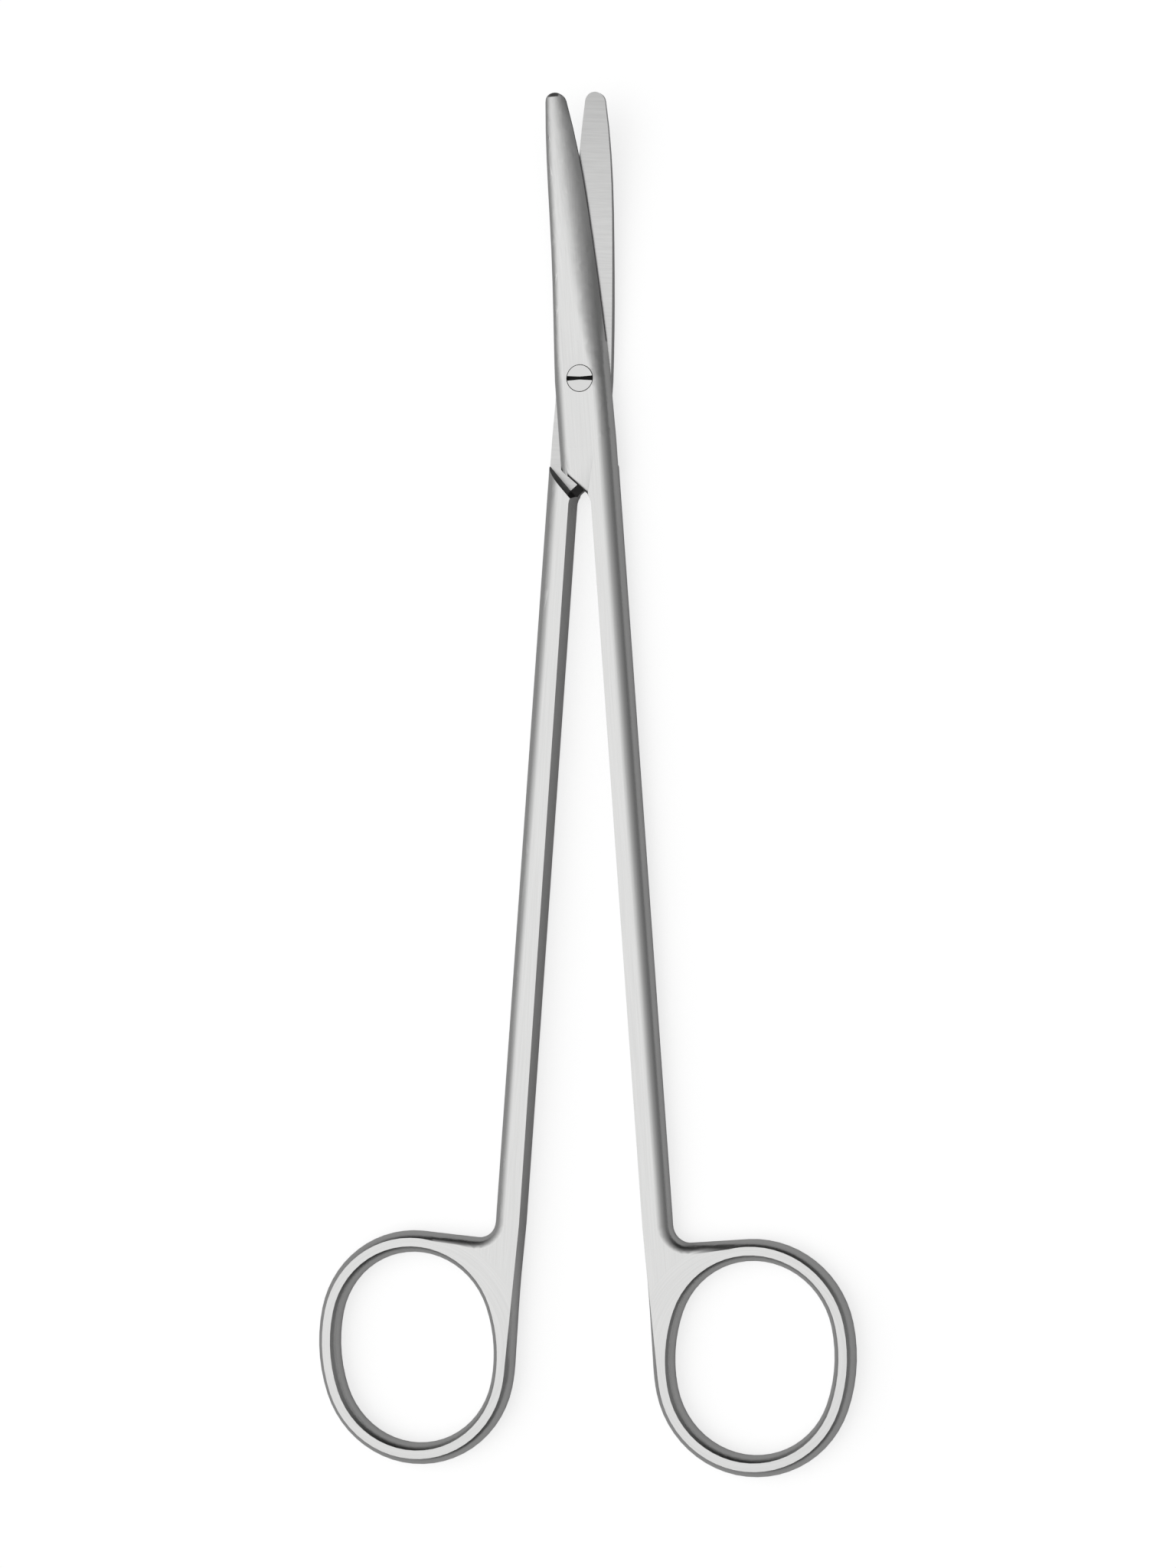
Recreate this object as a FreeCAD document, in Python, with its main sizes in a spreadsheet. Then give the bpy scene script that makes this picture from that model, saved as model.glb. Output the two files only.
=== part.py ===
import FreeCAD, Part
import math
import os
import sys
import Sketcher

# Curved dissecting scissors with finger rings, lying flat, 18 cm long.
# Two forged halves lie face to face at a lap joint and turn on one slotted screw.
# Both halves are drawn in the same way: shank on the -X side, shear face at Z = 0, back of the
# blade towards -Z. The upper half is the same forging rolled over, with its blade bent back.

sizes = {
    "tipReach": 36.8,
    "tipRound": 1.35,
    "bendStart": 5.0,
    "bendRise": 4.2,
    "faceGap": 0.08,
    "halfThick": 2.15,
    "ringHalfThick": 1.75,
    "jawHalfRoot": 3.6,
    "jawHalfMid": 2.98,
    "jawHalfFore": 2.4,
    "jawHalfNear": 1.9,
    "jawHalfTip": 1.2,
    "jawThickMid": 1.95,
    "jawThickFore": 1.6,
    "jawThickNear": 1.35,
    "jawThickTip": 1.1,
    "edgeLand": 0.35,
    "lapSide": 3.6,
    "lapSideRound": 1.45,
    "spineDrop": 0.62,
    "lapEndDrop": 11.55,
    "lapEndBevel": 1.0,
    "shoulderGap": 0.12,
    "shoulderSlope": 0.35,
    "crotchRound": 2.2,
    "shankInner": 0.35,
    "shankWide": 3.6,
    "shankCrown": 2.12,
    "shankCrownLow": 1.7,
    "filletRound": 2.3,
    "filletCrown": 1.45,
    "ringFromPivot": 127.7,
    "ringSideways": 13.6,
    "ringTilt": 7.75,
    "ringLongHalf": 12.5,
    "ringWideHalf": 10.6,
    "ringEndTrim": 0.3,
    "ringFlat": 1.1,
    "ringCrown": 0.86,
    "openAngle": 8.3,
    "headRound": 1.75,
    "headTall": 0.95,
    "stemRound": 1.15,
    "pivotFit": 0.04,
    "slotMid": 0.4,
    "slotEnd": 0.5,
    "slotDeep": 0.5,
    "screwEdge": 0.06,
}

doc = FreeCAD.newDocument("scissors")
sheet = doc.addObject("Spreadsheet::Sheet", "sizes")
for row, (alias, value) in enumerate(sizes.items(), start=1):
    sheet.set("A%d" % row, alias)
    sheet.set("B%d" % row, str(value))
    sheet.setAlias("B%d" % row, alias)
doc.recompute()


# A length that carries its value and the same sum written over the sheet's cells.
class Size:
    def __init__(self, value, text):
        self.value = value
        self.text = text

    def __add__(self, other):
        other = asSize(other)
        return Size(self.value + other.value, "(%s + %s)" % (self.text, other.text))

    def __sub__(self, other):
        other = asSize(other)
        return Size(self.value - other.value, "(%s - %s)" % (self.text, other.text))

    def __mul__(self, other):
        other = asSize(other)
        return Size(self.value * other.value, "(%s * %s)" % (self.text, other.text))

    def __truediv__(self, other):
        other = asSize(other)
        return Size(self.value / other.value, "(%s / %s)" % (self.text, other.text))

    def __neg__(self):
        return Size(-self.value, "(-%s)" % self.text)


def asSize(number):
    if isinstance(number, Size):
        return number
    return Size(float(number), "(%.6f)" % number)


def size(alias):
    return Size(float(sheet.get(alias)), "sizes." + alias)


def cosine(angle):
    return Size(math.cos(math.radians(angle.value)), "cos(%s)" % angle.text)


def sine(angle):
    return Size(math.sin(math.radians(angle.value)), "sin(%s)" % angle.text)


zero = asSize(0.0)


def plane(body, role):
    return next(item for item in body.Origin.OriginFeatures if item.Role == role)


# A sketch that lies in the plan view, or stands upright across it at a place and a heading.
def newSketch(body, name, place=None, heading=0.0):
    sketch = body.newObject("Sketcher::SketchObject", name)
    sketch.AttachmentSupport = [(plane(body, "XY_Plane"), "")]
    sketch.MapMode = "FlatFace"
    if place is not None:
        upright = FreeCAD.Rotation(FreeCAD.Vector(0, 0, 1), heading)
        upright = upright.multiply(FreeCAD.Rotation(FreeCAD.Vector(1, 0, 0), 90))
        base = FreeCAD.Vector(place[0].value, place[1].value, 0)
        sketch.AttachmentOffset = FreeCAD.Placement(base, upright)
        sketch.setExpression(".AttachmentOffset.Base.x", place[0].text)
        sketch.setExpression(".AttachmentOffset.Base.y", place[1].text)
    return sketch


# Draws a chain of lines and arcs. Each corner is held by two sizes, each arc by its radius.
# An arc's radius is positive when it bulges to the left of the way from corner to corner.
def drawChain(sketch, corners, radii):
    count = len(corners)
    ends = [FreeCAD.Vector(x.value, y.value, 0) for x, y in corners]
    starts = []
    for index in range(count):
        begin = ends[index]
        finish = ends[(index + 1) % count]
        radius = radii.get(index)
        if radius is None:
            geo = sketch.addGeometry(Part.LineSegment(begin, finish))
            starts.append((geo, 1, 2))
            continue
        chord = finish - begin
        left = FreeCAD.Vector(-chord.y, chord.x, 0).normalize()
        reach = abs(radius.value)
        rise = reach - math.sqrt(max(reach ** 2 - chord.Length ** 2 / 4, 0.0))
        side = 1 if radius.value > 0 else -1
        middle = (begin + finish) * 0.5 + left * (rise * side)
        geo = sketch.addGeometry(Part.Arc(begin, middle, finish))
        # The sketch keeps arcs counter-clockwise, so a left bulge has its ends swapped.
        starts.append((geo, 2, 1) if side > 0 else (geo, 1, 2))
    for index in range(count):
        geo, head, tail = starts[index]
        following, itsHead, _ = starts[(index + 1) % count]
        sketch.addConstraint(Sketcher.Constraint("Coincident", geo, tail, following, itsHead))
        for kind, length in (("DistanceX", corners[index][0]), ("DistanceY", corners[index][1])):
            number = sketch.addConstraint(
                Sketcher.Constraint(kind, -1, 1, geo, head, length.value))
            sketch.setExpression(".Constraints[%d]" % number, length.text)
    for index, radius in radii.items():
        reach = radius if radius.value > 0 else -radius
        geo = starts[index][0]
        number = sketch.addConstraint(Sketcher.Constraint("Radius", geo, reach.value))
        sketch.setExpression(".Constraints[%d]" % number, reach.text)


def crownRadius(half, crown):
    return (half * half + crown * crown) / (crown * 2)


def roofRadius(across, drop):
    return (across * across + drop * drop) / (drop * 2)


def loft(body, name, sketches, ruled=False):
    feature = body.newObject("PartDesign::AdditiveLoft", name)
    feature.Profile = sketches[0]
    feature.Sections = sketches[1:]
    feature.Ruled = ruled
    feature.Closed = False
    return feature


# Cuts by a depth: straight down through a plan outline from a height, or along an upright one.
def pocket(body, name, sketch, top, depth, slope=None):
    if top is not None:
        sketch.AttachmentOffset = FreeCAD.Placement(
            FreeCAD.Vector(0, 0, top.value), FreeCAD.Rotation())
        sketch.setExpression(".AttachmentOffset.Base.z", top.text)
    doc.recompute()
    before = body.Shape.Volume
    feature = body.newObject("PartDesign::Pocket", name)
    feature.Profile = sketch
    feature.Type = 0
    feature.Length = depth.value
    feature.setExpression("Length", depth.text)
    if slope is not None:
        feature.TaperAngle = -math.degrees(math.atan(slope.value))
        feature.setExpression("TaperAngle", "-atan(%s)" % slope.text)
    doc.recompute()
    if body.Shape.Volume >= before:
        sys.exit(name + " cuts nothing")
    return feature


# Places and forms that both halves share.
shearGap = size("faceGap") / 2
half = size("halfThick")
ringHalf = size("ringHalfThick")
inner = -size("shankInner")
outer = inner - size("shankWide")
lapSide = size("lapSide")
lapStation = asSize(-8.0)
shoulderTop = asSize(-9.0)
# How far cutting outlines reach past the metal, and the height they start from.
beyond = asSize(8.0)
above = asSize(5.0)
overTip = asSize(0.15)
# The upright strip at the mid-plane where the two crowned sides of a bar meet.
sideLand = asSize(0.1)
crownBar = size("ringCrown") + size("ringFlat") / 2
ringX = -size("ringSideways")
ringY = -size("ringFromPivot")
wideHalf = size("ringWideHalf")
endRound = wideHalf - size("ringEndTrim")
endOffset = size("ringLongHalf") - endRound
sideRound = ((wideHalf * wideHalf + endOffset * endOffset - endRound * endRound)
             / ((wideHalf - endRound) * 2))
sideOffset = sideRound - wideHalf
tilt = size("ringTilt")
ringTopX = ringX - endOffset * sine(tilt)
ringTopY = ringY + endOffset * cosine(tilt) + endRound + crownBar * 2
filletRound = size("filletRound")
filletX = outer - filletRound
filletY = ringTopY + filletRound - sideLand


# One upright section of the blade, the lap or the outer half of the shank.
def layerSection(body, name, station, bend, form):
    left, right, thick, leftRun, rightRun, leftLand, rightLand, leftRadius = form
    face = bend - shearGap
    back = bend - thick
    corners = [
        (left, face),
        (left, face - leftLand),
        (left + leftRun, back),
        (right - rightRun, back),
        (right, face - rightLand),
        (right, face),
    ]
    rightRadius = roofRadius(rightRun, thick - shearGap - rightLand)
    sketch = newSketch(body, name, (zero, station))
    drawChain(sketch, corners, {1: -leftRadius, 3: -rightRadius})
    return sketch


# Blade form: cutting edge on the left with its upright land, a softly rounded spine on the right.
def bladeForm(halfWide, thick, edgeRun, spineRun):
    land = size("edgeLand")
    spineLand = thick - spineRun * size("spineDrop") - shearGap
    return (-halfWide, halfWide, thick, edgeRun, spineRun, land, spineLand,
            roofRadius(edgeRun, thick - shearGap - land))


def lapForm(side, crown, thick):
    lapRound = size("lapSideRound")
    lapLand = thick - lapRound * size("spineDrop") - shearGap
    return (side, lapSide, thick, crown, lapRound, sideLand, lapLand, crownRadius(thick, crown))


def addBlade(body, bendSign):
    reach = size("tipReach")
    start = size("bendStart")
    rise = size("bendRise") * bendSign
    rootHalf = size("jawHalfRoot")
    midHalf = size("jawHalfMid")
    foreHalf = size("jawHalfFore")
    midThick = size("jawThickMid")
    foreThick = size("jawThickFore")
    nearHalf = size("jawHalfNear")
    tipHalf = size("jawHalfTip")
    stations = [
        (reach + overTip, bladeForm(tipHalf * 0.9, size("jawThickTip") * 0.45, tipHalf,
                                    tipHalf * 0.5)),
        (reach * 0.985, bladeForm(tipHalf * 1.05, size("jawThickTip"), tipHalf * 1.25,
                                  tipHalf * 0.75)),
        (reach * 0.84, bladeForm(nearHalf, size("jawThickNear"), nearHalf * 1.25, nearHalf * 0.52)),
        (reach * 0.65, bladeForm(foreHalf, foreThick, foreHalf * 1.25, foreHalf * 0.44)),
        (reach * 0.48, bladeForm((foreHalf + midHalf) / 2, (foreThick + midThick) / 2,
                                 (foreHalf + midHalf) * 0.59, foreHalf * 0.44)),
        (reach * 0.32, bladeForm(midHalf, midThick, midHalf * 1.06, midHalf * 0.36)),
        (reach * 0.16, bladeForm((midHalf + rootHalf) / 2, (midThick + half) / 2,
                                 (midHalf + rootHalf) * 0.43, rootHalf * 0.3)),
        (zero, lapForm(-rootHalf, size("shankCrown"), half)),
    ]
    sketches = []
    # The bend grows with the square of the way from its start, as a bow of one radius does.
    for number, (station, form) in enumerate(stations):
        along = (station - start) / (reach - start)
        bend = rise * along * along if along.value > 0 else zero
        sketches.append(layerSection(body, "BladeSection%d" % number, station, bend, form))
    loft(body, "Blade", sketches[1:])
    doc.recompute()
    loft(body, "BladeTip", sketches[:2], ruled=True)
    doc.recompute()
    return sketches[-1]


# The lap and the outer half of the shank, then the shank's other half behind the shoulder.
def addShank(body, pivotSection):
    lapEndForm = lapForm((outer - size("jawHalfRoot")) / 2, size("shankCrown"), half)
    low = lapForm(outer, size("shankCrownLow"), ringHalf)
    sections = [
        pivotSection,
        layerSection(body, "OuterLayerTop", lapStation, zero, lapEndForm),
        layerSection(body, "OuterLayerLow", filletY, zero, low),
    ]
    loft(body, "OuterLayer", sections, ruled=True)
    doc.recompute()
    # Stock past the inner wall, taken off again by the crotch cut.
    innerStock = inner + 1.35
    part = (lapStation - shoulderTop) / (lapStation - filletY)
    shoulderThick = half - (half - ringHalf) * part
    shoulderCrown = size("shankCrown") - (size("shankCrown") - size("shankCrownLow")) * part
    shoulderSide = lapEndForm[0] - (lapEndForm[0] - outer) * part
    sections = []
    for name, station, side, thick, crown in (
            ("InnerLayerTop", shoulderTop, shoulderSide, shoulderThick, shoulderCrown),
            ("InnerLayerLow", filletY, outer, ringHalf, size("shankCrownLow"))):
        sketch = newSketch(body, name, (zero, station))
        corners = [
            (side, -shearGap),
            (side, sideLand),
            (side + crown, thick),
            (innerStock, thick),
            (innerStock, -shearGap),
        ]
        drawChain(sketch, corners, {1: crownRadius(thick, crown)})
        sections.append(sketch)
    loft(body, "InnerLayer", sections, ruled=True)
    doc.recompute()


# The slanted shoulder that the other half's lap end closes against. Its wall leans back.
def cutRecess(body):
    slope = size("shoulderSlope") / half
    lean = (above + shearGap) * slope
    line = -(size("lapEndDrop") + lapSide + (size("shoulderGap") + lean) * math.sqrt(2))
    left = -beyond
    right = inner + 2.35
    sketch = newSketch(body, "RecessOutline")
    start = lapStation + 2
    drawChain(sketch, [(left, line - left), (right, line - right),
                       (right, start), (left, start)], {})
    pocket(body, "LapRecess", sketch, above, above + shearGap, slope)


# A bevel on the shear face along the lap's slanted end, that runs out of the shoulder's foot.
def cutLapEndBevel(body):
    corner = size("shoulderGap") * math.sqrt(0.5)
    bevel = size("lapEndBevel")
    sketch = newSketch(body, "LapEndBevelOutline",
                       (-corner, -corner - lapSide - size("lapEndDrop")), -45.0)
    drawChain(sketch, [(-bevel, -shearGap), (bevel, -shearGap - bevel * 1.6),
                       (bevel, -shearGap)], {})
    pocket(body, "LapEndBevel", sketch, None, beyond)


# The lap's slanted end, the crotch and the shank's flat inner wall, in one cut.
def cutCrotch(body):
    cornerY = -(size("lapEndDrop") + lapSide - inner)
    run = size("crotchRound") * math.tan(math.radians(22.5))
    slant = run * math.sqrt(0.5)
    corners = [
        (beyond, beyond - lapSide - size("lapEndDrop")),
        (inner + slant, cornerY + slant),
        (inner, cornerY - run),
        (inner, filletY),
        (beyond, filletY),
    ]
    sketch = newSketch(body, "CrotchOutline")
    drawChain(sketch, corners, {1: -size("crotchRound")})
    pocket(body, "Crotch", sketch, above, above * 2)


# A point of the finger ring, given along the oval's own width and length, in the plan view.
def ringPoint(x, y):
    turnC = cosine(tilt)
    turnS = sine(tilt)
    return (ringX + x * turnC - y * turnS, ringY + x * turnS + y * turnC)


# The centreline's rightmost point, where the band from the shank runs into the ring.
def ringSidePoint():
    return (ringX - sideOffset * cosine(tilt) + sideRound + crownBar,
            ringY - sideOffset * sine(tilt))


# The middle of the centreline's right side, then the four joints of its arcs.
def ringCorners():
    reach = sideRound + crownBar
    span = sideRound - endRound
    across = reach * sideOffset / span - sideOffset
    along = reach * endOffset / span
    corners = [ringPoint(wideHalf + crownBar, zero)]
    for signX, signY in ((1, 1), (-1, 1), (-1, -1), (1, -1)):
        corners.append(ringPoint(across * signX, along * signY))
    return corners


# A narrow flat at top and bottom with a crowned side on each edge, swept round the oval.
def addRing(body):
    corners = ringCorners()
    side = -(sideRound + crownBar)
    end = -(endRound + crownBar)
    path = newSketch(body, "RingPath")
    drawChain(path, corners, {0: side, 1: end, 2: side, 3: end, 4: side})
    bar = newSketch(body, "RingBar", corners[0], tilt.value)
    flat = size("ringFlat") / 2
    crown = crownRadius(ringHalf, size("ringCrown"))
    drawChain(bar, [(flat, -ringHalf), (flat, ringHalf), (-flat, ringHalf), (-flat, -ringHalf)],
              {0: -crown, 2: -crown})
    doc.recompute()
    ring = body.newObject("PartDesign::AdditivePipe", "FingerRing")
    ring.Profile = bar
    ring.Spine = path
    doc.recompute()


# The shank's flat inner wall grows into the crowned side of the ring.
def addInnerBand(body):
    flat = size("ringFlat") / 2
    depth = asSize(1.6)
    start = newSketch(body, "BandTop", (inner, filletY))
    drawChain(start, [(zero, -ringHalf), (zero, ringHalf), (-depth, ringHalf),
                      (-depth, -ringHalf)], {})
    finish = newSketch(body, "BandLow", ringSidePoint())
    drawChain(finish, [(flat, -ringHalf), (flat, ringHalf), (-flat, ringHalf),
                       (-flat, -ringHalf)], {0: -crownRadius(ringHalf, size("ringCrown"))})
    loft(body, "InnerBand", [start, finish], ruled=True)
    doc.recompute()


# The flat web between shank and ring, from the fillet in to the ring's centreline.
def addWeb(body):
    reach = filletRound + size("filletCrown") + 0.5
    sketch = newSketch(body, "WebOutline")
    outline = [
        ringSidePoint(),
        ringCorners()[1],
        (ringTopX, ringTopY - crownBar),
        ((ringTopX + filletX) / 2, ringTopY - crownBar),
        (filletX, filletY - reach),
        (filletX + reach, filletY),
        (inner - 0.5, filletY),
    ]
    drawChain(sketch, outline, {0: -(sideRound + crownBar), 1: -(endRound + crownBar),
                                4: -reach})
    web = body.newObject("PartDesign::Pad", "Web")
    web.Profile = sketch
    web.Midplane = True
    web.Length = ringHalf.value * 2
    web.setExpression("Length", (ringHalf * 2).text)
    doc.recompute()


# Crowned rim of the web: round the fillet first, then on to the top of the ring.
def rimSection(body, name, place, heading, offset, crown):
    strip = asSize(0.9)
    sketch = newSketch(body, name, place, heading)
    near = offset + crown
    drawChain(sketch, [(near, -ringHalf), (near, ringHalf), (near + strip, ringHalf),
                       (near + strip, -ringHalf)], {0: crownRadius(ringHalf, crown)})
    return sketch


def addRim(body):
    first = size("shankCrownLow")
    last = size("filletCrown")
    centre = (filletX, filletY)
    # Five sections, a quarter turn in all, carry the rim from the shank's side to the web.
    turns = 4
    sections = []
    for number in range(turns + 1):
        share = number / turns
        crown = first - (first - last) * share
        sections.append(rimSection(body, "RimSection%d" % number, centre, -90 * share,
                                   filletRound, crown))
    loft(body, "FilletRim", sections)
    doc.recompute()
    begin = rimSection(body, "WebRimStart", centre, -90, filletRound, last)
    finish = rimSection(body, "WebRimEnd", (ringTopX, ringTopY), -90, zero, size("ringCrown"))
    loft(body, "WebRim", [begin, finish], ruled=True)
    doc.recompute()


# Rounds the blunt tip in the plan view.
def cutTip(body):
    tipRound = size("tipRound")
    # The rounding stops a little short of a half circle, where the blade's sides take over.
    spread = asSize(78.0)
    side = tipRound * sine(spread)
    shoulder = size("tipReach") - tipRound + tipRound * cosine(spread)
    far = size("tipReach") + beyond
    sketch = newSketch(body, "TipOutline")
    drawChain(sketch, [(-beyond, shoulder), (-side, shoulder), (side, shoulder),
                       (beyond, shoulder), (beyond, far), (-beyond, far)], {1: tipRound})
    top = size("bendRise") + above
    pocket(body, "TipRound", sketch, top, top * 2)


def cutHole(body, name, radius, top, depth):
    sketch = newSketch(body, name + "Outline")
    sketch.addGeometry(Part.Circle(FreeCAD.Vector(0, 0, 0), FreeCAD.Vector(0, 0, 1), radius.value))
    sketch.addConstraint(Sketcher.Constraint("Coincident", 0, 3, -1, 1))
    number = sketch.addConstraint(Sketcher.Constraint("Radius", 0, radius.value))
    sketch.setExpression(".Constraints[%d]" % number, radius.text)
    pocket(body, name, sketch, top, depth)


def makeHalf(label, bendSign):
    body = doc.addObject("PartDesign::Body", label)
    body.Label = label
    doc.recompute()
    pivotSection = addBlade(body, bendSign)
    addShank(body, pivotSection)
    cutRecess(body)
    cutCrotch(body)
    cutLapEndBevel(body)
    addInnerBand(body)
    addWeb(body)
    addRing(body)
    addRim(body)
    cutTip(body)
    return body


# Lower half: blade back down, shank on the left, tapped hole for the screw.
def makeThreadedHalf():
    body = makeHalf("threaded_half", 1)
    cutHole(body, "ScrewHole", size("stemRound"), above, above * 2)
    turn = FreeCAD.Rotation(FreeCAD.Vector(0, 0, 1), -size("openAngle").value / 2)
    body.Placement = FreeCAD.Placement(FreeCAD.Vector(0, 0, half.value), turn)
    body.setExpression(".Placement.Base.z", half.text)
    return body


# Upper half: rolled over so that its blade lies on top, with a seat for the screw's head.
def makeScrewSideHalf():
    body = makeHalf("screw_side_half", -1)
    fit = size("pivotFit")
    cutHole(body, "PivotBore", size("stemRound") + fit, above, above * 2)
    cutHole(body, "HeadSeat", size("headRound") + fit, size("headTall") + fit - half, above)
    roll = FreeCAD.Rotation(FreeCAD.Vector(0, 1, 0), 180)
    turn = FreeCAD.Rotation(FreeCAD.Vector(0, 0, 1), size("openAngle").value / 2)
    body.Placement = FreeCAD.Placement(FreeCAD.Vector(0, 0, half.value), turn.multiply(roll))
    body.setExpression(".Placement.Base.z", half.text)
    return body


# Slotted pivot screw: head flush with the upper half, end flush with the lower one.
def makeScrew():
    body = doc.addObject("PartDesign::Body", "pivot_screw")
    body.Label = "pivot_screw"
    doc.recompute()
    stem = size("stemRound")
    head = size("headRound")
    edge = size("screwEdge")
    top = half * 2
    neck = top - size("headTall")
    profile = newSketch(body, "ScrewProfile", (zero, zero))
    drawChain(profile, [(zero, zero), (stem - edge, zero), (stem, edge), (stem, neck),
                        (head, neck), (head, top - edge), (head - edge, top), (zero, top)], {})
    doc.recompute()
    turned = body.newObject("PartDesign::Revolution", "Turned")
    turned.Profile = profile
    turned.ReferenceAxis = (profile, ["V_Axis"])
    turned.Angle = 360
    doc.recompute()
    slot = newSketch(body, "SlotOutline")
    far = head + 1
    mid = size("slotMid") / 2
    end = size("slotEnd") / 2 + (size("slotEnd") - size("slotMid")) / 2 / head
    drawChain(slot, [(-far, -end), (zero, -mid), (far, -end), (far, end), (zero, mid),
                     (-far, end)], {})
    pocket(body, "Slot", slot, top + above, size("slotDeep") + above)
    return body


bodies = [makeThreadedHalf(), makeScrewSideHalf(), makeScrew()]
doc.recompute()

for item in doc.Objects:
    if "Invalid" in item.State or "Error" in item.State:
        sys.exit("%s did not build: %s" % (item.Name, item.State))
os.makedirs("parts", exist_ok=True)
for body in bodies:
    shape = body.Shape
    if shape.isNull() or not shape.isValid() or len(shape.Solids) != 1:
        sys.exit(body.Label + " is not one valid solid")
for body in bodies:
    body.Shape.exportStep("parts/%s.step" % body.Label)
    box = body.Shape.BoundBox
    print("%s %.2f mm3, x %.2f to %.2f, y %.2f to %.2f, z %.2f to %.2f" % (
        body.Label, body.Shape.Volume, box.XMin, box.XMax, box.YMin, box.YMax,
        box.ZMin, box.ZMax))
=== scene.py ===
import bmesh
import bpy
import math
from mathutils import Matrix, Vector


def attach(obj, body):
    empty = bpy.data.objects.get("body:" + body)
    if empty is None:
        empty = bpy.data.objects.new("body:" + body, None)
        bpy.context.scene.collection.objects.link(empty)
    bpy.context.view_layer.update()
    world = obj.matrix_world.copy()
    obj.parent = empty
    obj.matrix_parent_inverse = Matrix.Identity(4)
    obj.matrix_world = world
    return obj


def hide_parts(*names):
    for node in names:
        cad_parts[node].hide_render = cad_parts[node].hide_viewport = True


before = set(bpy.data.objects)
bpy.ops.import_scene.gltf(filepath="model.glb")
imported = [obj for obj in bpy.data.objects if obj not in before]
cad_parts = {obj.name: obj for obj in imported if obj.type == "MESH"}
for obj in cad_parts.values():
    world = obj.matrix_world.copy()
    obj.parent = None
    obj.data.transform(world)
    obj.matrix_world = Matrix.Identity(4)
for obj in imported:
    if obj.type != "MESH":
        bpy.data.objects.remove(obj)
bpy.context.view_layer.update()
print("frame loaded:", sorted(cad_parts))

# The photograph is taken from above, rolled a little to the right of the scissors.
camera = {
    "roll": 16.0,                  # degrees about the long axis
    "distance": 0.650,
    "target": (0.00052, -0.05255, 0.00215),
    "fieldTall": 0.2036,           # metres that the frame's height takes in at the target
    "sensor": 24.0,
    "clipStart": 0.01,
}


def makeCamera():
    settings = bpy.data.cameras.new("photoCamera")
    settings.sensor_fit = "VERTICAL"
    settings.sensor_height = camera["sensor"]
    settings.lens = camera["sensor"] * camera["distance"] / camera["fieldTall"]
    settings.clip_start = camera["clipStart"]
    view = bpy.data.objects.new("photoCamera", settings)
    roll = math.radians(camera["roll"])
    away = Vector((math.sin(roll), 0, math.cos(roll))) * camera["distance"]
    view.location = Vector(camera["target"]) + away
    view.rotation_euler = (0, roll, 0)
    bpy.context.scene.collection.objects.link(view)
    bpy.context.scene.camera = view
    print("camera placed")


def mathNode(tree, operation, first, second=None):
    node = tree.nodes.new("ShaderNodeMath")
    node.operation = operation
    for socket, value in zip(node.inputs, (first, second)):
        if isinstance(value, (int, float)):
            socket.default_value = value
        elif value is not None:
            tree.links.new(value, socket)
    return node.outputs[0]


# One broad soft light overhead, which fades towards a dim horizon.
softLight = {
    "level": 1.04,
    "lean": 17.0,                  # degrees that its middle leans to the left
    # Degrees away from its middle, and how bright it is there.
    "fade": ((90, 0.01), (75, 0.11), (60, 0.23), (45, 0.39), (30, 0.62), (15, 0.87), (4, 1.0)),
    "sideGlow": 0.15,              # low light from the left and the right
    "endShade": 0.55,              # how much sooner it fades towards tips and rings
    "endShadeBend": 1.5,           # above 1 keeps that to the low light
}


# The steel shows this light. The camera sees plain white.
def makeWorld():
    world = bpy.data.worlds.new("softStudio")
    world.use_nodes = True
    tree = world.node_tree
    nodes = tree.nodes
    links = tree.links
    nodes.clear()
    output = nodes.new("ShaderNodeOutputWorld")
    mix = nodes.new("ShaderNodeMixShader")
    backdrop = nodes.new("ShaderNodeBackground")
    backdrop.inputs["Color"].default_value = (1, 1, 1, 1)
    dome = nodes.new("ShaderNodeBackground")
    dome.inputs["Strength"].default_value = softLight["level"]
    direction = nodes.new("ShaderNodeTexCoord")
    towards = nodes.new("ShaderNodeVectorMath")
    towards.operation = "DOT_PRODUCT"
    lean = math.radians(softLight["lean"])
    towards.inputs[1].default_value = (-math.sin(lean), 0, math.cos(lean))
    fade = nodes.new("ShaderNodeValToRGB")
    stops = fade.color_ramp.elements
    while len(stops) < len(softLight["fade"]):
        stops.new(0.5)             # the next lines give each stop its own place
    for stop, (angle, level) in zip(stops, softLight["fade"]):
        stop.position = math.cos(math.radians(angle))
        stop.color = (level, level, level, 1)
    split = nodes.new("ShaderNodeSeparateXYZ")
    path = nodes.new("ShaderNodeLightPath")
    links.new(direction.outputs["Generated"], towards.inputs[0])
    links.new(direction.outputs["Generated"], split.inputs[0])
    endways = mathNode(tree, "MULTIPLY", split.outputs["Y"], split.outputs["Y"])
    steep = mathNode(tree, "POWER", endways, softLight["endShadeBend"])
    shade = mathNode(tree, "MULTIPLY", steep, softLight["endShade"])
    links.new(mathNode(tree, "SUBTRACT", towards.outputs["Value"], shade), fade.inputs["Fac"])
    sideways = mathNode(tree, "MULTIPLY", split.outputs["X"], split.outputs["X"])
    glow = mathNode(tree, "MULTIPLY", sideways, softLight["sideGlow"])
    links.new(mathNode(tree, "ADD", glow, fade.outputs["Color"]), dome.inputs["Color"])
    links.new(path.outputs["Is Camera Ray"], mix.inputs["Fac"])
    links.new(dome.outputs[0], mix.inputs[1])
    links.new(backdrop.outputs[0], mix.inputs[2])
    links.new(mix.outputs[0], output.inputs["Surface"])
    bpy.context.scene.world = world
    print("world made")


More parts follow.
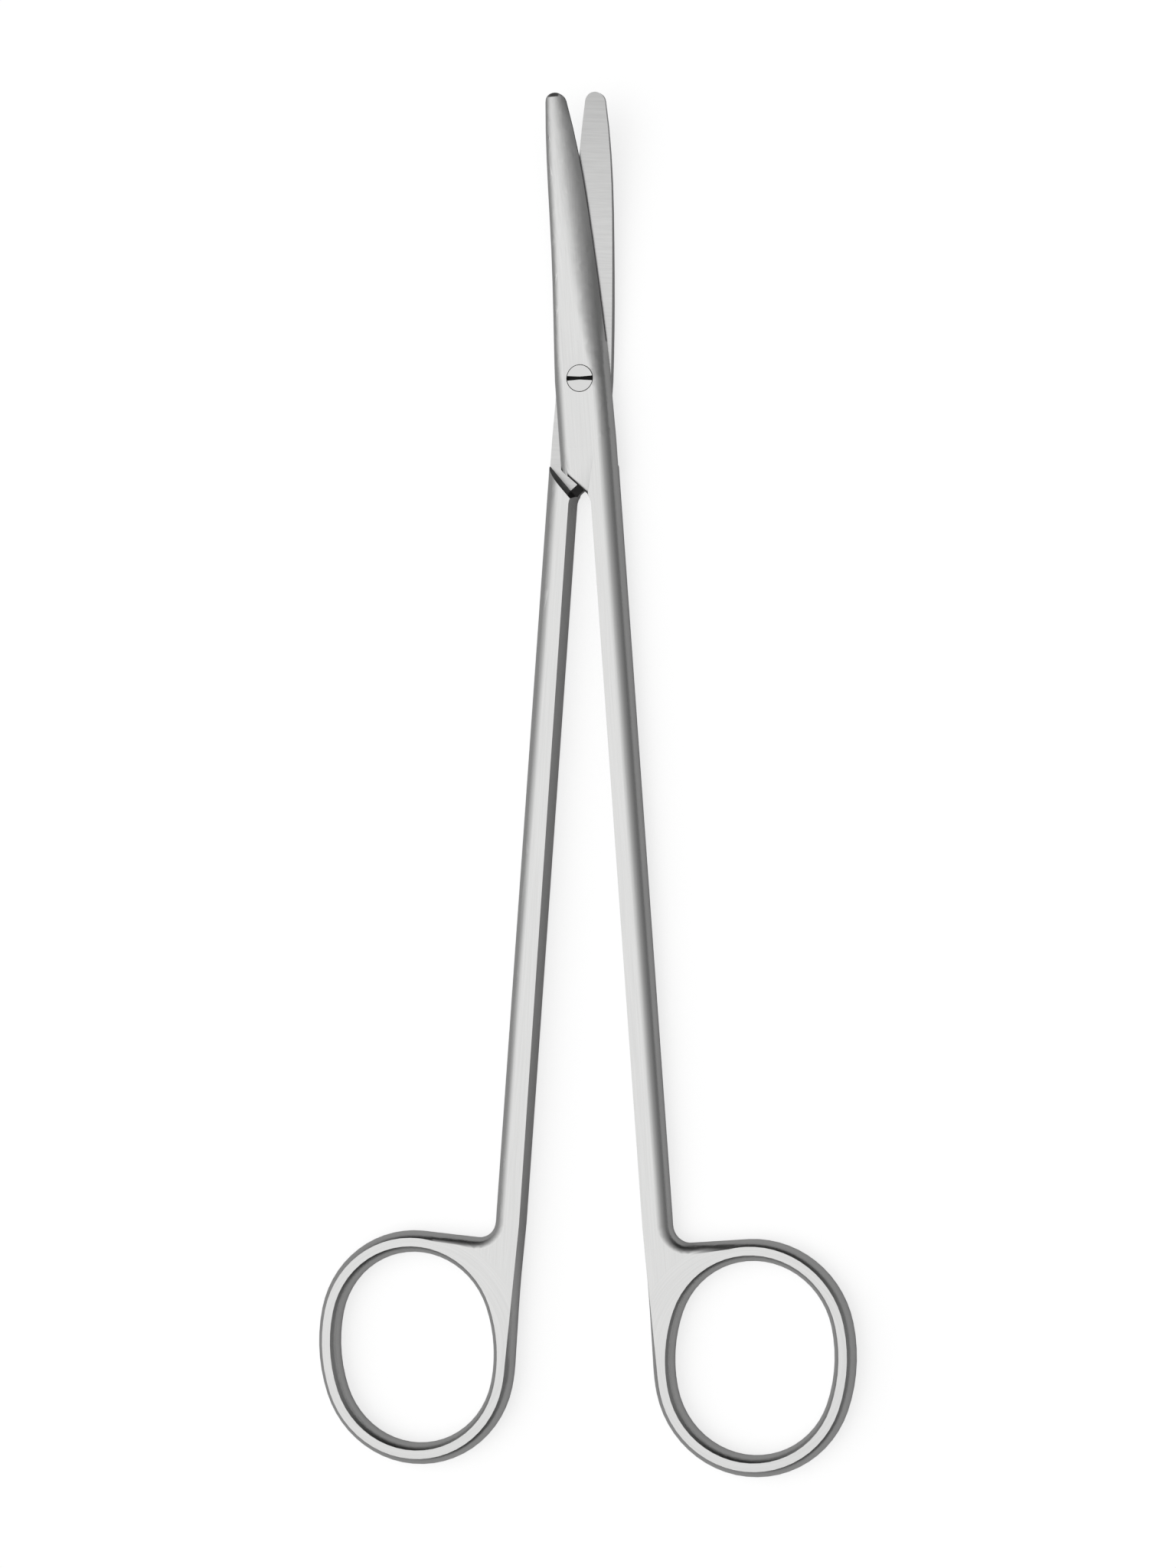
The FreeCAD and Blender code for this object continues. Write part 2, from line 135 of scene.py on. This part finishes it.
paleFloor = {
    "size": 3.0,
    "drop": 0.0002,                # metres below the scissors
    "tone": 0.72,
    "lift": 0.71,                  # white that the camera alone sees on top of the lit tone
}


def makeFloor():
    bpy.ops.mesh.primitive_plane_add(size=paleFloor["size"], location=(0, 0, -paleFloor["drop"]))
    floor = bpy.context.object
    floor.name = "paleFloor"
    paint = bpy.data.materials.new("paleFloor")
    paint.use_nodes = True
    nodes = paint.node_tree.nodes
    links = paint.node_tree.links
    nodes.clear()
    output = nodes.new("ShaderNodeOutputMaterial")
    mix = nodes.new("ShaderNodeMixShader")
    matte = nodes.new("ShaderNodeBsdfDiffuse")
    tone = paleFloor["tone"]
    matte.inputs["Color"].default_value = (tone, tone, tone, 1)
    white = nodes.new("ShaderNodeEmission")
    white.inputs["Strength"].default_value = paleFloor["lift"]
    both = nodes.new("ShaderNodeAddShader")
    path = nodes.new("ShaderNodeLightPath")
    links.new(path.outputs["Is Camera Ray"], mix.inputs["Fac"])
    links.new(matte.outputs[0], mix.inputs[1])
    links.new(matte.outputs[0], both.inputs[0])
    links.new(white.outputs[0], both.inputs[1])
    links.new(both.outputs[0], mix.inputs[2])
    links.new(mix.outputs[0], output.inputs["Surface"])
    floor.data.materials.append(paint)
    print("floor made")


def newSteel(name, finish):
    steel = bpy.data.materials.new(name)
    steel.use_nodes = True
    surface = steel.node_tree.nodes["Principled BSDF"]
    surface.inputs["Base Color"].default_value = (*finish["tone"], 1)
    surface.inputs["Metallic"].default_value = 1.0
    surface.inputs["Roughness"].default_value = finish["roughness"]
    return steel, surface


# The half's own flat coordinates: along the shank, whatever way the half is turned.
def ownCoordinates(tree, turn):
    place = tree.nodes.new("ShaderNodeTexCoord")
    turned = tree.nodes.new("ShaderNodeMapping")
    turned.vector_type = "POINT"
    turned.inputs["Rotation"].default_value = (0, 0, math.radians(-turn))
    tree.links.new(place.outputs["Object"], turned.inputs["Vector"])
    split = tree.nodes.new("ShaderNodeSeparateXYZ")
    tree.links.new(turned.outputs["Vector"], split.inputs[0])
    return split.outputs


# Noise over three coordinates, each with its own scale.
def grainNoise(tree, detail, *scaled):
    joined = tree.nodes.new("ShaderNodeCombineXYZ")
    for socket, (coordinate, scale) in zip(joined.inputs, scaled):
        tree.links.new(mathNode(tree, "MULTIPLY", coordinate, scale), socket)
    noise = tree.nodes.new("ShaderNodeTexNoise")
    noise.inputs["Scale"].default_value = 1.0
    noise.inputs["Detail"].default_value = detail
    tree.links.new(joined.outputs[0], noise.inputs["Vector"])
    return noise.outputs[0]


# Grain height into a little bump and a little tone.
def grainFinish(tree, surface, grain, finish):
    bump = tree.nodes.new("ShaderNodeBump")
    bump.inputs["Distance"].default_value = finish["grainDepth"]
    tree.links.new(grain, bump.inputs["Height"])
    tree.links.new(bump.outputs[0], surface.inputs["Normal"])
    shade = tree.nodes.new("ShaderNodeMapRange")
    shade.inputs["To Min"].default_value = 1 - finish["toneSpread"]
    shade.inputs["To Max"].default_value = 1 + finish["toneSpread"]
    tree.links.new(grain, shade.inputs["Value"])
    paint = tree.nodes.new("ShaderNodeMix")
    paint.data_type = "RGBA"
    paint.blend_type = "MULTIPLY"
    paint.inputs["Factor"].default_value = 1.0
    paint.inputs[6].default_value = (*finish["tone"], 1)
    tree.links.new(shade.outputs["Result"], paint.inputs[7])
    tree.links.new(paint.outputs[2], surface.inputs["Base Color"])


# Satin steel, brushed along the shank and round the ring.
satin = {
    "tone": (0.755, 0.755, 0.75),
    "roughness": 0.25,
    "grainWide": 5200.0,           # noise scale across the brushing, per metre
    "grainLong": 110.0,            # and along it
    "grainDetail": 3.0,
    "grainDepth": 0.0000022,
    "toneSpread": 0.07,
    "ringCentre": (-0.0136, -0.1277),  # of the lower half's ring, the upper half mirrors it
    "ringReach": 0.0152,           # metres from there within which the grain goes round
    "ringBlend": 0.001,
}


def makeSatin(name, turn, side):
    steel, surface = newSteel(name, satin)
    tree = steel.node_tree
    x, y, z = ownCoordinates(tree, turn)
    wide = satin["grainWide"]
    long = satin["grainLong"]
    detail = satin["grainDetail"]
    straight = grainNoise(tree, detail, (x, wide), (y, long), (z, wide))
    ringX, ringY = satin["ringCentre"]
    dx = mathNode(tree, "SUBTRACT", x, ringX * side)
    dy = mathNode(tree, "SUBTRACT", y, ringY)
    squares = mathNode(tree, "ADD", mathNode(tree, "MULTIPLY", dx, dx),
                       mathNode(tree, "MULTIPLY", dy, dy))
    reach = mathNode(tree, "SQRT", squares)
    roundLong = long * satin["ringReach"]
    turning = grainNoise(tree, detail, (mathNode(tree, "ADD", reach, z), wide),
                         (mathNode(tree, "DIVIDE", dx, reach), roundLong),
                         (mathNode(tree, "DIVIDE", dy, reach), roundLong))
    inRing = tree.nodes.new("ShaderNodeMapRange")
    inRing.inputs["From Min"].default_value = satin["ringReach"] + satin["ringBlend"]
    inRing.inputs["From Max"].default_value = satin["ringReach"]
    tree.links.new(reach, inRing.inputs["Value"])
    grain = tree.nodes.new("ShaderNodeMix")
    tree.links.new(inRing.outputs["Result"], grain.inputs["Factor"])
    tree.links.new(straight, grain.inputs[2])
    tree.links.new(turning, grain.inputs[3])
    grainFinish(tree, surface, grain.outputs[0], satin)
    return steel


# The faces that meet between the halves are ground straight across.
ground = {
    "tone": (0.71, 0.71, 0.705),
    "roughness": 0.32,
    "grainWide": 4300.0,           # noise scale across the lines, per metre
    "grainLong": 260.0,            # and along them
    "grainDetail": 4.0,
    "grainDepth": 0.000003,
    "toneSpread": 0.12,
}


def makeGround(name, turn):
    steel, surface = newSteel(name, ground)
    tree = steel.node_tree
    x, y, z = ownCoordinates(tree, turn)
    wide = ground["grainWide"]
    long = ground["grainLong"]
    lines = grainNoise(tree, ground["grainDetail"], (x, long), (y, wide), (z, long))
    grainFinish(tree, surface, lines, ground)
    return steel


# Every piece starts as a copy of its CAD node, joined up and smoothed.
cadCopy = {
    "mergeGap": 0.000002,          # metres, joins the loose triangles
    "creaseAngle": 24.0,           # degrees, sharper edges stay crisp
    "levelDot": 0.9997,            # how level a flat must lie to be held level
}


# Joins a CAD copy's loose triangles, keeps its sharp edges and gives it its steel.
def makeCleanTree():
    tree = bpy.data.node_groups.new("cleanForging", "GeometryNodeTree")
    face = tree.interface
    face.new_socket("Geometry", in_out="INPUT", socket_type="NodeSocketGeometry")
    face.new_socket("Merge Gap", in_out="INPUT", socket_type="NodeSocketFloat")
    face.new_socket("Crease Angle", in_out="INPUT", socket_type="NodeSocketFloat")
    face.new_socket("Steel", in_out="INPUT", socket_type="NodeSocketMaterial")
    face.new_socket("Geometry", in_out="OUTPUT", socket_type="NodeSocketGeometry")
    nodes = tree.nodes
    links = tree.links
    start = nodes.new("NodeGroupInput")
    finish = nodes.new("NodeGroupOutput")
    merge = nodes.new("GeometryNodeMergeByDistance")
    angle = nodes.new("GeometryNodeInputMeshEdgeAngle")
    soft = nodes.new("FunctionNodeCompare")
    soft.operation = "LESS_THAN"
    faces = nodes.new("GeometryNodeSetShadeSmooth")
    edges = nodes.new("GeometryNodeSetShadeSmooth")
    edges.domain = "EDGE"
    dress = nodes.new("GeometryNodeSetMaterial")
    links.new(start.outputs["Geometry"], merge.inputs["Geometry"])
    links.new(start.outputs["Merge Gap"], merge.inputs["Distance"])
    links.new(merge.outputs[0], faces.inputs["Geometry"])
    links.new(faces.outputs[0], edges.inputs["Geometry"])
    links.new(angle.outputs["Unsigned Angle"], soft.inputs[0])
    links.new(start.outputs["Crease Angle"], soft.inputs[1])
    links.new(soft.outputs[0], edges.inputs["Shade Smooth"])
    links.new(edges.outputs[0], dress.inputs["Geometry"])
    links.new(start.outputs["Steel"], dress.inputs["Material"])
    links.new(dress.outputs[0], finish.inputs["Geometry"])
    return tree


def cleanCopy(node, name, tree, steel):
    rough = bpy.data.objects.new(name + "Rough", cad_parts[node].data.copy())
    rough.data.materials.clear()
    bpy.context.scene.collection.objects.link(rough)
    clean = rough.modifiers.new("clean", "NODES")
    clean.node_group = tree
    inputs = {item.name: item.identifier for item in tree.interface.items_tree
              if item.in_out == "INPUT"}
    clean[inputs["Merge Gap"]] = cadCopy["mergeGap"]
    clean[inputs["Crease Angle"]] = math.radians(cadCopy["creaseAngle"])
    clean[inputs["Steel"]] = steel
    ready = bpy.context.evaluated_depsgraph_get()
    joined = bpy.data.meshes.new_from_object(rough.evaluated_get(ready))
    bpy.data.objects.remove(rough)
    piece = bpy.data.objects.new(name, joined)
    bpy.context.scene.collection.objects.link(piece)
    print(name, len(joined.vertices), "points", len(joined.polygons), "faces")
    return piece


# Smooth normals, with the level flats and the roundings' rows beside them held level.
def levelNormals(mesh):
    level = {}
    for polygon in mesh.polygons:
        if abs(polygon.normal.z) > cadCopy["levelDot"]:
            for point in polygon.vertices:
                level.setdefault(point, polygon.normal.copy())
    normals = [Vector(item.vector) for item in mesh.corner_normals]
    softDot = math.cos(math.radians(cadCopy["creaseAngle"]))
    for polygon in mesh.polygons:
        for loop in polygon.loop_indices:
            flat = level.get(mesh.loops[loop].vertex_index)
            if flat and flat.dot(polygon.normal) > softDot:
                normals[loop] = flat
    return normals


# Rounds off the outer edge of the lap's slanted end, a form left out of the CAD.
lapEdge = {
    "band": (-0.0160, -0.0090),    # metres along the half between which that edge lies
    "flatDot": 0.99,               # how level the flat beside it is
    "wallLean": 0.1,               # how far from upright its wall may be
    "wallBackDot": 0.65,           # how far that wall faces the rings
    "offset": 0.00048,
    "profile": 0.5,
    "segments": 4,
}


def between(value, limits):
    return limits[0] < value < limits[1]


def breakLapEdge(piece, turn, side):
    toOwn = Matrix.Rotation(math.radians(-turn), 3, "Z")
    shape = bmesh.new()
    shape.from_mesh(piece.data)
    chosen = []
    for edge in shape.edges:
        if len(edge.link_faces) != 2:
            continue
        middle = toOwn @ ((edge.verts[0].co + edge.verts[1].co) / 2)
        if not between(middle.y, lapEdge["band"]):
            continue
        flat, wall = sorted((toOwn @ face.normal for face in edge.link_faces),
                            key=lambda normal: -abs(normal.z))
        if (flat.z * side < -lapEdge["flatDot"] and abs(wall.z) < lapEdge["wallLean"]
                and wall.y < -lapEdge["wallBackDot"] and wall.x * side > 0):
            chosen.append(edge)
    bmesh.ops.bevel(shape, geom=chosen, offset=lapEdge["offset"], profile=lapEdge["profile"],
                    segments=lapEdge["segments"], affect="EDGES")
    shape.to_mesh(piece.data)
    shape.free()
    print(piece.name, len(chosen), "edges broken")


# Both forgings: how each is turned and curved.
forging = {
    "halfTurn": 4.15,              # degrees that each half is turned from closed
    "midHeight": 0.00215,          # metres up to the plane between the halves
    "bendStart": 0.005,            # where the blades' curve begins and ends
    "bendEnd": 0.037,
    "bendRise": 0.0042,
}

# The working faces are found by where they lie and how they face, in the half's own frame.
workFaces = {
    "groundDot": 0.97,             # how squarely a ground face looks at the other half
    "groundSlack": 0.0003,         # metres that it may lie off the plane between them
    "groundLow": -0.016,           # ground faces end here, past the shoulder
    "lapBand": (-0.018, -0.009),   # the shoulder and the lap's slanted end lie in here
    "wallLean": 0.3,               # how far from upright a wall may be
    "shoulderDot": 0.4,            # how far the shoulder's wall faces the tips
    "landDot": 0.8,
    "landTall": 0.0004,            # metres under each cutting edge
    "bevelDots": (0.3, 0.6),       # how far the lap end's bevel faces inwards, and the rings
    "bevelBand": (0.0002, 0.0021),
    "seatReach": 0.00185,          # metres from the pivot, takes in the head seat's wall
}
# Painted shade: a near-black steel laid where shade falls, on the shoulder's wall, the land
# under each cutting edge, the lap end's bevel and the head seat's wall. Its roughness is a rough
# milled finish.
paintedShade = {
    "tone": (0.16, 0.16, 0.16),
    "roughness": 0.48,
}


# How far the blades' curve lifts the plane between the halves here, and how steeply.
def bendAt(y):
    length = forging["bendEnd"] - forging["bendStart"]
    along = (y - forging["bendStart"]) / length
    if along <= 0:
        return 0.0, 0.0
    return forging["bendRise"] * along * along, 2 * forging["bendRise"] * along / length


# Height is measured from the plane between the halves.
def isGround(centre, normal, height, shear):
    return (normal.dot(shear) > workFaces["groundDot"] and abs(height) < workFaces["groundSlack"]
            and centre.y > workFaces["groundLow"])


# Picks the faces that get painted shade: the shoulder's wall, the land under each cutting edge,
# the lap end's bevel and the head seat's wall.
def getsPaintedShade(centre, normal, height, side):
    inLap = between(centre.y, workFaces["lapBand"])
    upright = abs(normal.z) < workFaces["wallLean"]
    inwards = normal.x * side
    shoulder = inLap and upright and normal.y > workFaces["shoulderDot"] and height * side > 0
    land = (centre.y > forging["bendStart"] and inwards < -workFaces["landDot"]
            and between(height * side, (-workFaces["landTall"], 0)))
    bevel = (inLap and between(inwards, workFaces["bevelDots"])
             and between(-normal.y, workFaces["bevelDots"])
             and between(-height * side, workFaces["bevelBand"]))
    seat = (upright and height > 0
            and Vector((centre.x, centre.y)).length < workFaces["seatReach"])
    return shoulder or land or bevel or seat


# Gives each working face its own steel, painted shade on the walls and lands where shade falls,
# and the ground faces their true curved normals.
def dressForging(piece, turn, side, groundSteel, shadeSteel):
    mesh = piece.data
    mesh.materials.append(groundSteel)
    mesh.materials.append(shadeSteel)
    toOwn = Matrix.Rotation(math.radians(-turn), 3, "Z")
    toWorld = Matrix.Rotation(math.radians(turn), 3, "Z")
    normals = levelNormals(mesh)
    counts = [0, 0]
    for polygon in mesh.polygons:
        centre = toOwn @ polygon.center
        normal = toOwn @ polygon.normal
        rise, slope = bendAt(centre.y)
        shear = Vector((0, -slope, 1)).normalized() * side
        height = centre.z - forging["midHeight"] - rise
        if isGround(centre, normal, height, shear):
            polygon.material_index = 1
            counts[0] += 1
            for loop in polygon.loop_indices:
                spot = toOwn @ mesh.vertices[mesh.loops[loop].vertex_index].co
                slope = bendAt(spot.y)[1]
                normals[loop] = (toWorld @ Vector((0, -slope, 1))).normalized() * side
        # The shaded walls and lands get the dark painted-shade steel.
        elif getsPaintedShade(centre, normal, height, side):
            polygon.material_index = 2
            counts[1] += 1
    mesh.normals_split_custom_set(normals)
    print(piece.name, counts[0], "ground faces", counts[1], "milled faces")


def makeHalf(node, name, body, turn, side, tree, shadeSteel):
    satinSteel = makeSatin(name + "Satin", turn, side)
    piece = cleanCopy(node, name, tree, satinSteel)
    breakLapEdge(piece, turn, side)
    dressForging(piece, turn, side, makeGround(name + "Ground", turn), shadeSteel)
    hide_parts(node)
    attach(piece, body)


screw = {
    "tone": (0.76, 0.76, 0.755),
    "roughness": 0.30,
    # Painted shade: near-black steel on the slot's floor and walls, where shade falls in the
    # narrow slot.
    "slotShadeSteel": {"tone": (0.03, 0.03, 0.03), "roughness": 0.6},
    "slotHeights": (0.0034, 0.0042),  # the slot's floor and walls have their middles in here
    "slotWide": 0.0004,            # metres from the pivot across the slot
    "slotLong": 0.0017,            # and along it
    "headLow": 0.0037,             # just under the slot's floor
    "slotEnd": 0.00025,            # half of the slot's width at its ends
    "slotSlack": 0.000005,
    "slotFlare": 0.00006,          # how much those ends are opened out
}


# The slot's four corners move outwards along the head's rim.
def flareSlot(mesh):
    for point in mesh.vertices:
        x, y, z = point.co
        if z < screw["headLow"] or abs(abs(y) - screw["slotEnd"]) > screw["slotSlack"]:
            continue
        reach = math.hypot(x, y)
        wide = abs(y) + screw["slotFlare"]
        point.co.x = math.copysign(math.sqrt(reach * reach - wide * wide), x)
        point.co.y = math.copysign(wide, y)


def makeScrew(tree):
    steel = newSteel("screwSteel", screw)[0]
    dark = newSteel("slotShadeSteel", screw["slotShadeSteel"])[0]
    piece = cleanCopy("pivot_screw", "pivotScrew", tree, steel)
    mesh = piece.data
    mesh.materials.append(dark)
    flareSlot(mesh)
    # The slot's floor and walls get the painted shade.
    for polygon in mesh.polygons:
        x, y, z = polygon.center
        if (between(z, screw["slotHeights"]) and abs(y) < screw["slotWide"]
                and abs(x) < screw["slotLong"]):
            polygon.material_index = 1
    mesh.normals_split_custom_set(levelNormals(mesh))
    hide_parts("pivot_screw")
    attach(piece, "lower_half")


makeCamera()
makeWorld()
makeFloor()
cleanTree = makeCleanTree()
# A near-black steel that paints shade into the recesses and under the cutting edges.
shadeSteel = newSteel("shadeSteel", paintedShade)[0]
halfTurn = forging["halfTurn"]
makeHalf("threaded_half", "lowerForging", "lower_half", -halfTurn, 1, cleanTree, shadeSteel)
makeHalf("screw_side_half", "upperForging", "upper_half", halfTurn, -1, cleanTree, shadeSteel)
makeScrew(cleanTree)

scene = bpy.context.scene
scene.view_settings.view_transform = "Standard"
